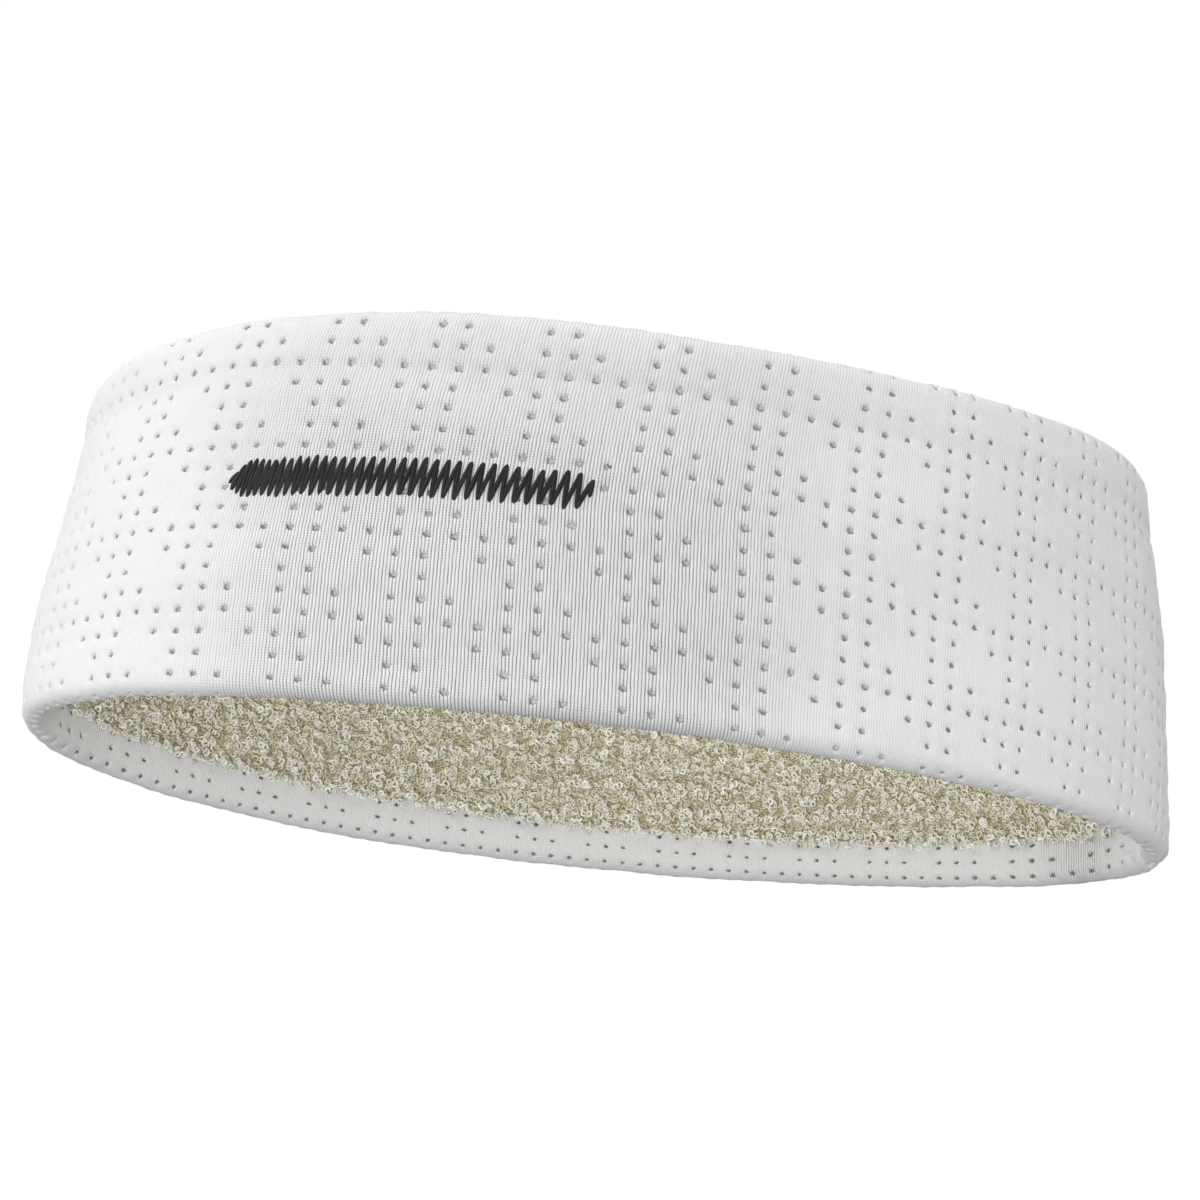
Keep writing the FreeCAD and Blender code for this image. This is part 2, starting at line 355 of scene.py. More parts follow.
# Columns lean towards +X above the middle and splay out towards both ends below it.
UPPER_LEAN = 4.0 * MM
UPPER_LEAN_POWER = 1.5
LOWER_LEAN = 1.3 * MM
LOWER_SPLAY_RIGHT = 5.0 * MM
LOWER_SPLAY_LEFT = 2.6 * MM
SPLAY_REACH = 115 * MM


def column_table():
    """Places and the hole column, as a running number, at each of them."""
    places = np.linspace(-PERIMETER / 2, PERIMETER / 2, 4001)
    away = abs(centred(places - STRETCH_CENTRE)) / STRETCH_WIDTH
    step = RELAXED_STEP + (STRETCHED_STEP - RELAXED_STEP) * np.exp(-(away**STRETCH_POWER))
    for middle, extra in BENDS:
        step += extra * bump_shape(centred(places - middle), BEND_WIDTH)
    columns = np.concatenate([[0], np.cumsum((1 / step[1:] + 1 / step[:-1]) / 2)])
    columns *= COLUMNS / columns[-1]
    columns -= np.interp(FIRST_COLUMN_PLACE, places, columns)
    return places, columns


COLUMN_PLACES, COLUMN_NUMBERS = column_table()


def place_of_column(column):
    """The place of a hole column at half height; columns repeat round the loop."""
    low = COLUMN_NUMBERS[0]
    wrapped = np.mod(column - low, COLUMNS) + low
    return np.interp(wrapped, COLUMN_NUMBERS, COLUMN_PLACES)


def column_step(column):
    """The distance along the loop that one hole column takes up."""
    return centred(place_of_column(column + 0.5) - place_of_column(column - 0.5))


def run_of_row(row):
    """The run of a hole row before it tilts: rows sit a little closer in the upper half."""
    share = (row - LOWEST_ROW) / (HIGHEST_ROW - LOWEST_ROW)
    return LOWER_EDGE + (UPPER_EDGE - LOWER_EDGE) * (share + ROW_EASE * share * (1 - share))


def row_tilt(base, row, front):
    """How far a point of a row stands above the row's own run."""
    downhill = ROW_TILT * np.cos(2 * math.pi * (base - ROW_TILT_CENTRE) / PERIMETER)
    sag = ROW_SAG * bump_shape(base - SAG_CENTRE, SAG_WIDTH)
    tilt = front * (downhill + ROW_DROP_FRONT - sag) + (1 - front) * ROW_DROP_BACK
    from_edge = np.minimum(row - LOWEST_ROW, HIGHEST_ROW - row)
    return tilt * smooth_step(from_edge / EDGE_ROWS)


def column_lean(base, row, front):
    """How far a point of a column lies from the column's own place."""
    up = np.clip((row - MIDDLE_ROW) / HALF_ROWS, 0, 1)
    down = np.clip((MIDDLE_ROW - row) / HALF_ROWS, 0, 1)
    splay = np.where(base > 0, LOWER_SPLAY_RIGHT, LOWER_SPLAY_LEFT)
    below = LOWER_LEAN - splay * smooth_step(abs(base) / SPLAY_REACH)
    return front * (UPPER_LEAN * up**UPPER_LEAN_POWER + below * down)


def cloth_place(column, row):
    """Place and run of a point of the knit given by its hole column and row."""
    base = place_of_column(column)
    front = smooth_step((FRONT_REACH - abs(base)) / FRONT_EASE)
    return base + column_lean(base, row, front), run_of_row(row) + row_tilt(base, row, front)


def over_knit(place, run, lift):
    """A point that stands a lift off the knit's outer face."""
    height, inset, up, out = cloth_path(run)
    stand = relief(place, run) + lift
    return on_loop(place, height + up * stand, inset + out * stand)


def knit_point(column, row, depth):
    """A point of the knit, a depth below its outer face."""
    place, run = cloth_place(column, row)
    return over_knit(place, run, -depth)


def has_hole(column, row):
    """Whether the perforation pattern has a hole at a whole column and row."""
    column, row = column % PATTERN, row % PATTERN
    pair = (column == 3) | (column == 0)
    before = (column == 2) & ((row == 1) | (row == 2))
    after = (column == 1) & ((row == 2) | (row == 3))
    return pair | before | after


# --- mesh helpers


def new_object(name, points, faces, material, smooth=True):
    """A mesh object from points and faces of three or four corners."""
    mesh = bpy.data.meshes.new(name)
    faces = np.asarray(faces)
    mesh.vertices.add(len(points))
    mesh.vertices.foreach_set("co", np.asarray(points, dtype=np.float32).ravel())
    mesh.loops.add(faces.size)
    mesh.loops.foreach_set("vertex_index", faces.ravel().astype(np.int32))
    mesh.polygons.add(len(faces))
    starts = np.arange(0, faces.size, faces.shape[1], dtype=np.int32)
    mesh.polygons.foreach_set("loop_start", starts)
    mesh.update(calc_edges=True)
    mesh.validate()
    mesh.polygons.foreach_set("use_smooth", np.full(len(faces), smooth))
    mesh.update()
    for one in material if isinstance(material, list) else [material]:
        mesh.materials.append(one)
    item = bpy.data.objects.new(name, mesh)
    bpy.context.scene.collection.objects.link(item)
    return item


def set_cloth_uv(item, column, row):
    """Gives a mesh the cloth's own coordinates, in columns and rows, as a UV map."""
    mesh = item.data
    corners = np.empty(len(mesh.loops), dtype=np.int32)
    mesh.loops.foreach_get("vertex_index", corners)
    per_face = corners.reshape(len(mesh.polygons), -1)
    across = column[per_face]
    wide = across.max(axis=1, keepdims=True) - across > COLUMNS / 2
    across = across + wide * COLUMNS
    layer = mesh.uv_layers.new(name="cloth")
    pairs = np.stack([across.ravel(), row[per_face].ravel()], axis=-1)
    layer.data.foreach_set("uv", pairs.astype(np.float32).ravel())


def set_stretch(item, column, row):
    """Stores how far the knit is stretched at each point, from 0 to 1."""
    beyond = column_step(column) - OPENING_STEP
    stretch = smooth_step(beyond / (STRETCHED_STEP - OPENING_STEP))
    stretch *= 1 - UPPER_EASE * smooth_step((row - MIDDLE_ROW) / HALF_ROWS)
    layer = item.data.attributes.new("stretch", "FLOAT", "POINT")
    layer.data.foreach_set("value", stretch.astype(np.float32))


def tube_mesh(paths, sides, radius, flat_axis):
    """Points and faces of many tubes. paths is (tubes, points, 3), radius is per tube and
    point, and flat_axis is a direction per tube and point that isn't along the tube."""
    tangent = np.gradient(paths, axis=1)
    tangent /= np.linalg.norm(tangent, axis=-1, keepdims=True)
    first = flat_axis - tangent * (flat_axis * tangent).sum(-1, keepdims=True)
    first /= np.linalg.norm(first, axis=-1, keepdims=True)
    second = np.cross(tangent, first)
    angles = np.arange(sides) * 2 * math.pi / sides
    cosine, sine = np.cos(angles)[:, None], np.sin(angles)[:, None]
    ring = first[:, :, None] * cosine + second[:, :, None] * sine
    points = paths[:, :, None] + ring * radius[:, :, None, None]
    tubes, along = paths.shape[:2]
    start = (np.arange(tubes) * along * sides)[:, None, None]
    station = (np.arange(along - 1) * sides)[None, :, None]
    side = np.arange(sides)[None, None, :]
    following = (side + 1) % sides
    near, far = start + station, start + station + sides
    corners = [near + side, near + following, far + following, far + side]
    return points.reshape(-1, 3), np.stack(corners, axis=-1).reshape(-1, 4)


# --- materials


def node_of_type(tree, kind):
    """The first node of a kind in a tree."""
    return next(n for n in tree.nodes if n.type == kind)


def node_material(name, **values):
    """A new material, its tree and its Principled shader. Inputs are set by name, in lower case
    with underscores."""
    material = bpy.data.materials.new(name)
    material.use_nodes = True
    tree = material.node_tree
    shader = node_of_type(tree, "BSDF_PRINCIPLED")
    for socket in shader.inputs:
        value = values.get(socket.name.lower().replace(" ", "_"))
        if value is not None:
            socket.default_value = value
    return material, tree, shader


def fill(tree, socket, value):
    """Gives a socket a number, or the output of another node."""
    if isinstance(value, (int, float)):
        socket.default_value = value
    else:
        tree.links.new(value, socket)


def maths(tree, operation, first, second=None):
    """A Math node over sockets or numbers, and its result."""
    node = tree.nodes.new("ShaderNodeMath")
    node.operation = operation
    fill(tree, node.inputs[0], first)
    if second is not None:
        fill(tree, node.inputs[1], second)
    return node.outputs[0]


def times(tree, first, second):
    """A product of sockets or numbers."""
    return maths(tree, "MULTIPLY", first, second)


def plus(tree, first, second):
    """A sum of sockets or numbers."""
    return maths(tree, "ADD", first, second)


def colour_ramp(tree, level, low, high):
    """A ramp between two (position, colour) stops, and its colour."""
    ramp = tree.nodes.new("ShaderNodeValToRGB")
    for element, (position, colour) in zip(ramp.color_ramp.elements, (low, high)):
        element.position = position
        element.color = (*colour, 1)
    tree.links.new(level, ramp.inputs["Fac"])
    return ramp.outputs["Color"]


def noise_level(tree, vector, scale, detail=2):
    """A noise over a vector, and its level."""
    noise = tree.nodes.new("ShaderNodeTexNoise")
    noise.inputs["Scale"].default_value = scale
    noise.inputs["Detail"].default_value = detail
    tree.links.new(vector, noise.inputs["Vector"])
    return noise.outputs["Fac"]


def object_position(tree):
    """Where a point is, in metres."""
    return tree.nodes.new("ShaderNodeTexCoord").outputs["Object"]


def add_bump(tree, shader, height, strength, distance):
    """Raises a height as bump on a shader. Strength is a number or a socket."""
    bump = tree.nodes.new("ShaderNodeBump")
    bump.inputs["Distance"].default_value = distance
    fill(tree, bump.inputs["Strength"], strength)
    tree.links.new(height, bump.inputs["Height"])
    tree.links.new(bump.outputs["Normal"], shader.inputs["Normal"])


def mix_surface(tree, share, first, second, output):
    """Shows a share of the second shader over the first at a tree's output."""
    mix = tree.nodes.new("ShaderNodeMixShader")
    fill(tree, mix.inputs["Fac"], share)
    tree.links.new(first.outputs[0], mix.inputs[1])
    tree.links.new(second.outputs[0], mix.inputs[2])
    tree.links.new(mix.outputs["Shader"], output.inputs["Surface"])


# The knit's ribs: how far a wale wanders and a course bends, in radians of their waves, what
# each adds to the height, and how much of the light soaks through.
WALE_WANDER = 2.4
COURSE_BEND = 2.2
COURSE_RISE = 0.16
FIBRE_RISE = 0.7
RIB_BUMP = 0.13 * MM
LEAST_BUMP = 0.7
# Painted shade in the grooves: how much streaks vary it from wale to wale, and how much closed
# ribs lighten it.
STREAK_SHARE = 0.5
CLOSED_SHARE = 0.98
SOAK = 0.2


def rib_height(tree, cloth, across, up):
    """The height of the ribbed jersey over the cloth: wales, slanted courses and fibres."""
    drift = maths(tree, "SUBTRACT", noise_level(tree, cloth, 2.2), 0.5)
    wale = times(tree, across, 2 * math.pi * WALES_PER_COLUMN)
    wale = plus(tree, wale, times(tree, drift, WALE_WANDER))
    course = times(tree, up, 2 * math.pi * COURSES_PER_ROW)
    rib = maths(tree, "ABSOLUTE", maths(tree, "SINE", times(tree, wale, 0.5)))
    slant = maths(tree, "ABSOLUTE", maths(tree, "SINE", wale))
    bent = plus(tree, course, times(tree, slant, COURSE_BEND))
    loops = times(tree, maths(tree, "SINE", bent), COURSE_RISE)
    fibre = times(tree, noise_level(tree, cloth, 36, 3), FIBRE_RISE)
    return plus(tree, plus(tree, rib, loops), fibre)


def painted_groove_shade_level(tree, height, stretch, across, up):
    """The level that sets the painted shade in the grooves: streaks of noise paint some wales
    darker, and where the knit is less stretched and its ribs closed, the grooves are painted
    lighter."""
    along = tree.nodes.new("ShaderNodeCombineXYZ")
    tree.links.new(times(tree, across, 6.0), along.inputs["X"])
    tree.links.new(times(tree, up, 0.7), along.inputs["Y"])
    streak = maths(tree, "SUBTRACT", noise_level(tree, along.outputs["Vector"], 1.0), 0.5)
    closed = maths(tree, "SUBTRACT", 1.0, maths(tree, "POWER", stretch, 2.0))
    level = plus(tree, height, times(tree, closed, CLOSED_SHARE))
    return plus(tree, level, times(tree, streak, STREAK_SHARE))


def knit_material(name, colour, groove_shade_colour):
    """Fine ribbed jersey: wales and courses as bump, which opens up where the cloth is stretched,
    and painted shade in the grooves, which darkens there. Light soaks through it."""
    material, tree, shader = node_material(
        name, roughness=0.85, specular_ior_level=0.2, sheen_weight=0.2, sheen_roughness=0.5
    )
    uv = tree.nodes.new("ShaderNodeUVMap")
    uv.uv_map = "cloth"
    parts = tree.nodes.new("ShaderNodeSeparateXYZ")
    tree.links.new(uv.outputs["UV"], parts.inputs["Vector"])
    across, up = parts.outputs["X"], parts.outputs["Y"]
    attribute = tree.nodes.new("ShaderNodeAttribute")
    attribute.attribute_name = "stretch"
    stretch = attribute.outputs["Fac"]

    height = rib_height(tree, uv.outputs["UV"], across, up)
    opened = times(tree, stretch, 1 - LEAST_BUMP)
    add_bump(tree, shader, height, plus(tree, opened, LEAST_BUMP), RIB_BUMP)
    level = painted_groove_shade_level(tree, height, stretch, across, up)
    # Painted shade: the colour ramps from near black in the grooves to the knit's white on the
    # ribs.
    ribbed = colour_ramp(tree, level, (0.35, groove_shade_colour), (2.0, colour))
    tree.links.new(ribbed, shader.inputs["Base Color"])

    through = tree.nodes.new("ShaderNodeBsdfTranslucent")
    through.inputs["Color"].default_value = (0.95, 0.95, 0.95, 1)
    mix_surface(tree, SOAK, shader, through, node_of_type(tree, "OUTPUT_MATERIAL"))
    return material


def ground_with_painted_shade():
    """The lining's ground, seen in the gaps of its pile: a bump of small curls, with painted shade
    that darkens it to olive brown where the curls dip.
    """
    material, tree, shader = node_material("terry_ground", roughness=0.95)
    position = object_position(tree)
    cells = tree.nodes.new("ShaderNodeTexVoronoi")
    cells.inputs["Scale"].default_value = 1 / (0.95 * MM)
    tree.links.new(position, cells.inputs["Vector"])
    curl = maths(tree, "SINE", times(tree, cells.outputs["Distance"], 11.0))
    level = noise_level(tree, position, 700, 3)
    height = plus(tree, times(tree, curl, 0.35), level)
    # Painted shade: dark olive brown where the curls dip, light cream on their tops.
    shade = colour_ramp(tree, height, (0.15, (0.40, 0.35, 0.22)), (0.75, (0.80, 0.76, 0.62)))
    tree.links.new(shade, shader.inputs["Base Color"])
    add_bump(tree, shader, height, 1.0, 0.3 * MM)
    return material


def plain_cloth(name, low, high):
    """A fine matted cloth between two shades."""
    material, tree, shader = node_material(name, roughness=0.9)
    level = noise_level(tree, object_position(tree), 1600, 4)
    shade = colour_ramp(tree, level, (0.35, low), (0.65, high))
    tree.links.new(shade, shader.inputs["Base Color"])
    add_bump(tree, shader, level, 0.6, 0.1 * MM)
    return material


def yarn_material(name, colour, roughness=0.8, sheen=0.3):
    """Spun yarn of one shade."""
    material, tree, shader = node_material(
        name,
        base_color=(*colour, 1),
        roughness=roughness,
        sheen_weight=sheen,
        specular_ior_level=0.25,
    )
    level = noise_level(tree, object_position(tree), 5000)
    add_bump(tree, shader, level, 0.5, 0.05 * MM)
    return material


# --- the knit shell

# Each hole cell of the lattice has SEGMENTS steps a side. A hole is a ragged five-pointed star,
# wider where the knit is stretched, in a raised pucker, with a lip that turns inwards.
SEGMENTS = 3
ACROSS = COLUMNS * SEGMENTS
UP = ROWS * SEGMENTS + 1
HOLE_RADIUS = 0.6 * MM
HOLE_GROWTH = 0.75
HOLE_PULL = 0.35
STAR_POINTS = 5
STAR_DEPTH = 0.17
RAGGEDNESS = 0.15

# Rings round a hole, from its pucker to its lip: radius, depth and how ragged.
HOLE_RINGS = (
    (1.02 * MM, -0.13 * MM, 0.3),
    (HOLE_RADIUS, 0.15 * MM, 1.0),
    (HOLE_RADIUS * 0.9, 0.5 * MM, 1.0),
)


def lattice(i, j):
    """The number of a lattice point; the lattice closes round the loop."""
    return (i % ACROSS) * UP + j


def knit_cells():
    """The cells without a hole, and those with one, as whole steps of column and row."""
    grid = np.meshgrid(np.arange(COLUMNS), np.arange(ROWS), indexing="ij")
    cells = np.stack(grid, axis=-1).reshape(-1, 2)
    row = cells[:, 1] + LOWEST_ROW + 0.5
    pierced = has_hole(cells[:, 0], row.astype(int))
    return cells[~pierced], cells[pierced]


def plain_faces(cells):
    """The faces of the cells without a hole."""
    faces = []
    for i in range(SEGMENTS):
        for j in range(SEGMENTS):
            x, y = cells[:, 0] * SEGMENTS + i, cells[:, 1] * SEGMENTS + j
            corners = [(x, y), (x + 1, y), (x + 1, y + 1), (x, y + 1)]
            faces.append(np.stack([lattice(*corner) for corner in corners], axis=-1))
    return faces


def cell_border():
    """The lattice steps round a cell's border, and their angles seen from its middle."""
    side = range(SEGMENTS)
    steps = [(k, 0) for k in side]
    steps += [(SEGMENTS, k) for k in side]
    steps += [(SEGMENTS - k, SEGMENTS) for k in side]
    steps += [(0, SEGMENTS - k) for k in side]
    steps = np.array(steps)
    away = steps - SEGMENTS / 2
    return steps, np.arctan2(away[:, 1], away[:, 0])


def hole_rings(cells, angles):
    """Column, row and depth of each ring round the holes, from the outside in."""
    column = cells[:, :1].astype(float)
    row = cells[:, 1:] + LOWEST_ROW + 0.5
    wide_step = column_step(column)
    high_step = run_of_row(row + 0.5) - run_of_row(row - 0.5)
    size = (wide_step / STRETCHED_STEP) ** HOLE_GROWTH * rng.uniform(0.9, 1.1, column.shape)
    star = np.cos(angles * STAR_POINTS + rng.uniform(0, 2 * math.pi, column.shape))
    ragged = rng.normal(0, RAGGEDNESS, (len(cells), len(angles)))
    shape = STAR_DEPTH * star + ragged
    pull = (wide_step - RELAXED_STEP) / (STRETCHED_STEP - RELAXED_STEP)
    pulled = HOLE_PULL * np.clip(pull, 0, 1)
    for radius, depth, irregular in HOLE_RINGS:
        high = radius * size * (1 + shape * irregular)
        wide = high * (1 + pulled * irregular)
        ring_column = column + wide * np.cos(angles) / wide_step
        yield ring_column, row + high * np.sin(angles) / high_step, depth


def knit_shell(material):
    """The perforated knit, from one sewn edge over both rims to the other."""
    i, j = np.meshgrid(np.arange(ACROSS), np.arange(UP), indexing="ij")
    column = (i / SEGMENTS - 0.5).ravel()
    row = (j / SEGMENTS + LOWEST_ROW).ravel()
    depth = np.zeros(len(column))
    plain, pierced = knit_cells()
    faces = plain_faces(plain)

    steps, angles = cell_border()
    following = np.roll(np.arange(len(angles)), -1)
    border = pierced[:, None] * SEGMENTS + steps
    outer = lattice(border[..., 0], border[..., 1])
    for ring_column, ring_row, sink in hole_rings(pierced, angles):
        inner = len(column) + np.arange(ring_column.size).reshape(ring_column.shape)
        column = np.concatenate([column, ring_column.ravel()])
        row = np.concatenate([row, ring_row.ravel()])
        depth = np.concatenate([depth, np.full(ring_column.size, sink)])
        band = [outer, outer[:, following], inner[:, following], inner]
        faces.append(np.stack(band, axis=-1).reshape(-1, 4))
        outer = inner

    # Lattice points inside a hole belong to no face and are left out.
    faces = np.concatenate(faces)
    used, numbers = np.unique(faces, return_inverse=True)
    column, row, depth = column[used], row[used], depth[used]
    points = knit_point(column, row, depth)
    item = new_object("knit_shell", points, numbers.reshape(faces.shape), material)
    set_cloth_uv(item, column, row)
    set_stretch(item, column, row)
    return item


# --- the terry lining

AROUND = 640
GROUND_INSET = 4.2 * MM
GROUND_TUCK = 0.9 * MM
GROUND_TUCK_WIDTH = 1.5 * MM
GROUND_SWELL = 0.18 * MM
BACK_INSET = 1.7 * MM

# Round the left end the band's bend draws the lining's back out towards the wall.
BACK_DRAW = 0.75 * MM
BACK_DRAW_PLACE = -112 * MM
BACK_DRAW_EASE = 36 * MM

# Two kinds of pile: stout loops, and thin curls on top. Radius, yarn and stand in millimetres,
# lean in degrees, and lift is how far a kind's colour leans to the pale side as painted light.
BODY = dict(count=13000, radius=0.5, yarn=0.26, stand=0.55, lean=(10, 75), lift=0.1)
CURLS = dict(count=21000, radius=0.36, yarn=0.11, stand=1.15, lean=(35, 110), lift=0.3)
OVERHANG = 2.2 * MM
LOOP_TWIST = 0.3 * MM
TUFTS = Waves(48, 6 * MM, 3 * MM)
TUFT_STAND = 0.8
EDGE_STAND = 0.5

# How far a point is moved to find which way a direction of the cloth runs.
NUDGE = 0.02 * MM

# A loop's points round its ring; past the foot angle they sink into the ground.
LOOP_ANGLES = np.radians([-155, -103, -52, 0, 52, 103, 155])
FOOT_ANGLE = math.radians(143)
FOOT_SINK = 0.4 * MM

# A loop's colour is painted lighter the further it stands out: painted shade in the hollows and
# painted light on the tufts, with some random tone. The steps part the shaded_deep, rosy, cream
# and pale yarns, and some of the cream is greenish.
SHADES = Waves(20, 12 * MM, 2.5 * MM)
SHADE_STEPS = [-0.75, -0.2, 0.7]
MEAN_STAND = 0.75
CREAM, GREENISH = 2, 4
GREENISH_FROM = 0.7
STRETCHES = 7


def behind_wall(place, height, depth):
    """The inset of something that follows the outer wall at a depth behind it."""
    return depth - relief(place, wall_run(height))


def grid_faces(across, up, closed):
    """The faces of a grid of points, which closes across if closed is true."""
    i, j = np.meshgrid(np.arange(across - (not closed)), np.arange(up - 1), indexing="ij")
    near, far = i * up + j, (i + 1) % across * up + j
    return np.stack([near, near + 1, far + 1, far], axis=-1).reshape(-1, 4)


def band_of_cloth(name, low, high, rows, inset_at, material):
    """A closed band of cloth inside the loop, at an inset given for each place and height."""
    places = np.arange(AROUND) * PERIMETER / AROUND
    place, height = np.meshgrid(places, np.linspace(low, high, rows), indexing="ij")
    points = on_loop(place, height, inset_at(place, height)).reshape(-1, 3)
    return new_object(name, points, grid_faces(AROUND, rows, True), material)


def ground_cloth(material):
    """The lining's ground cloth, between the two hems."""

    def inset_at(place, height):
        edge = np.minimum(height - HEM_HEIGHT, HEM_HEIGHT + LINING_HEIGHT - height)
        tucked = GROUND_TUCK * (1 - smooth_step(edge / GROUND_TUCK_WIDTH))
        return GROUND_INSET - tucked + TUFTS.at(place, height) * GROUND_SWELL

    top = HEM_HEIGHT + LINING_HEIGHT
    return band_of_cloth("terry_ground_cloth", HEM_HEIGHT, top, 64, inset_at, material)


def lining_back(material):
    """The lining's knitted back, whose edges reach down into both rims."""

    def inset_at(place, height):
        drawn = 1 - smooth_step((centred(place) - BACK_DRAW_PLACE) / BACK_DRAW_EASE)
        return behind_wall(place, height, BACK_INSET - BACK_DRAW * drawn)

    low = RIM_RADIUS / 2
    return band_of_cloth("lining_back", low, BAND_HEIGHT - low, 56, inset_at, material)


def scattered(first, last, count):
    """Jittered places and heights that cover a stretch of the lining."""
    span = LINING_HEIGHT + 2 * OVERHANG
    lines = int(math.sqrt(count * span / (last - first)))
    per_line = count // lines
    i, j = np.meshgrid(np.arange(per_line), np.arange(lines), indexing="ij")
    i, j = i.ravel(), j.ravel()
    jitter = rng.uniform(-0.5, 0.5, (2, len(i)))
    place = first + (i + 0.5 + jitter[0]) / per_line * (last - first)
    return place, HEM_HEIGHT - OVERHANG + (j + 0.5 + jitter[1] * 0.9) / lines * span


def yarn_loops(kind, place, height):
    """Tubes for one loop of yarn at each place and height, and how far each stands out."""
    count = len(place)
    radius = kind["radius"] * MM * rng.uniform(0.75, 1.25, (count, 1))
    stand = kind["stand"] + rng.normal(0, 0.14, count) + TUFT_STAND * TUFTS.at(place, height)
    over_hem = np.maximum(HEM_HEIGHT - height, height - HEM_HEIGHT - LINING_HEIGHT)
    stand = np.clip(stand, 0, None) + EDGE_STAND * smooth_step(over_hem / OVERHANG + 0.5)
    lean = np.radians(rng.uniform(*kind["lean"], (count, 1)))
    face = rng.uniform(0, 2 * math.pi, (count, 1))
    twist = rng.normal(0, 1, (count, 1)) * LOOP_TWIST

    # Each loop in its own frame: across its ring, along its twist and out of the ground.
    angle = LOOP_ANGLES[None, :]
    across = radius * np.sin(angle)
    along = twist * angle / math.pi
    out = radius * np.cos(angle)
    sink = FOOT_SINK * (abs(angle) > FOOT_ANGLE)
    sideways = along * np.cos(lean) + out * np.sin(lean)
    depth = out * np.cos(lean) - along * np.sin(lean) + stand[:, None] * MM - sink
    at_place = place[:, None] + across * np.cos(face) - sideways * np.sin(face)
    at_height = height[:, None] + across * np.sin(face) + sideways * np.cos(face)
    paths = on_loop(at_place, at_height, GROUND_INSET + depth)
    beside = on_loop(
        at_place - np.cos(lean) * np.sin(face) * NUDGE,
        at_height + np.cos(lean) * np.cos(face) * NUDGE,
        GROUND_INSET + depth - np.sin(lean) * NUDGE,
    )
    yarn = kind["yarn"] * MM * rng.uniform(0.8, 1.2, (count, 1))
    points, faces = tube_mesh(paths, 3, yarn * np.ones(len(LOOP_ANGLES)), beside - paths)
    return points, faces, stand


def yarn_and_painted_shade(kind, place, height, stand):
    """Which colour each loop gets: painted shade in the hollows and painted light on the tufts,
    with random tone.
    """
    # Painted shade and light: the colour step follows how far the loop stands out, plus noise.
    shade = stand - MEAN_STAND + rng.normal(0, 0.35, len(place)) + kind["lift"]
    choice = np.digitize(shade, SHADE_STEPS)
    greenish = SHADES.at(place, height) + rng.normal(0, 0.6, len(place)) > GREENISH_FROM
    return np.where(greenish & (choice == CREAM), GREENISH, choice)


def terry_pile(name, materials, first, last):
    """The terry pile over one stretch of the loop."""
    share = (last - first) / PERIMETER
    points, faces, choices = [], [], []
    for kind in (BODY, CURLS):
        place, height = scattered(first, last, int(kind["count"] * share))
        new_points, new_faces, stand = yarn_loops(kind, place, height)
        choice = yarn_and_painted_shade(kind, place, height, stand)
        faces.append(new_faces + sum(len(p) for p in points))
        points.append(new_points)
        choices.append(np.repeat(choice, len(new_faces) // len(place)))
    item = new_object(name, np.concatenate(points), np.concatenate(faces), materials)
    choices = np.concatenate(choices).astype(np.int32)
    item.data.polygons.foreach_set("material_index", choices)
    item.data.update()
    return item


# --- the embroidered bar

# Each stroke of the zigzag is a few filaments that arch off the knit from knot to knot.
# Strokes are close at the left end and open out to the right.
STROKES = 74
STROKE_CROWDING = 1.25
STROKE_SLANT = 0.8 * MM
STROKE_POINTS = 9
STROKE_SINK = 0.35 * MM
STROKE_ARCH = 0.62 * MM
MIDDLE_ARCH = 0.14 * MM
LEAST_REACH = 0.25
REACH_SHARE = 0.96
FILAMENTS = 3
FILAMENT_RADIUS = 0.2 * MM
FILAMENT_GAP = 0.3 * MM


def zigzag(knots):
    """The side, -1 or 1, that each knot of a zigzag lies on."""
    return np.where(np.arange(knots) % 2 == 0, -1.0, 1.0)


def round_ended(from_end, half):
    """Half the rise of a bar with half-round ends, at a distance from its end."""
    return half * np.sqrt(1 - np.clip(1 - from_end / half, 0, 1) ** 2)


def bar_knots():
    """Place and run of the zigzag's knots."""
    start, end = BAR_PLACES
    knots = start + (end - start) * np.linspace(0, 1, STROKES + 1) ** STROKE_CROWDING
    half = BAR_RISE / 2
    reach = round_ended(np.minimum(knots - start, end - knots), half)
    reach = np.maximum(reach, LEAST_REACH * half) * REACH_SHARE
    side = zigzag(STROKES + 1)
    uneven = rng.normal(0, 0.12, STROKES + 1) * MM
    return knots + side * STROKE_SLANT, BAR_RUN + side * reach + uneven


def embroidered_bar(material):
    """The zigzag of satin stitches."""
    knot_place, knot_run = bar_knots()
    share = np.linspace(0, 1, STROKE_POINTS)
    arch = np.sin(share * math.pi) ** 0.45
    parting = np.sin(share * math.pi) ** 0.5
    paths = []
    for k in range(STROKES):
        for f in range(FILAMENTS):
            from_middle = f - (FILAMENTS - 1) / 2
            spread = from_middle * FILAMENT_GAP + rng.normal(0, 0.03) * MM
            place = knot_place[k] + (knot_place[k + 1] - knot_place[k]) * share
            run = knot_run[k] + (knot_run[k + 1] - knot_run[k]) * share
            rise = STROKE_ARCH + MIDDLE_ARCH * (from_middle == 0) + rng.normal(0, 0.04) * MM
            paths.append(over_knit(place + spread * parting, run, arch * rise - STROKE_SINK))
    paths = np.array(paths)
    outward = np.zeros_like(paths)
    outward[..., 1] = -1.0
    radius = np.full(paths.shape[:2], FILAMENT_RADIUS)
    points, faces = tube_mesh(paths, 6, radius, outward)
    return new_object("embroidery_zigzag", points, faces, material)


# --- seams and what backs the bar

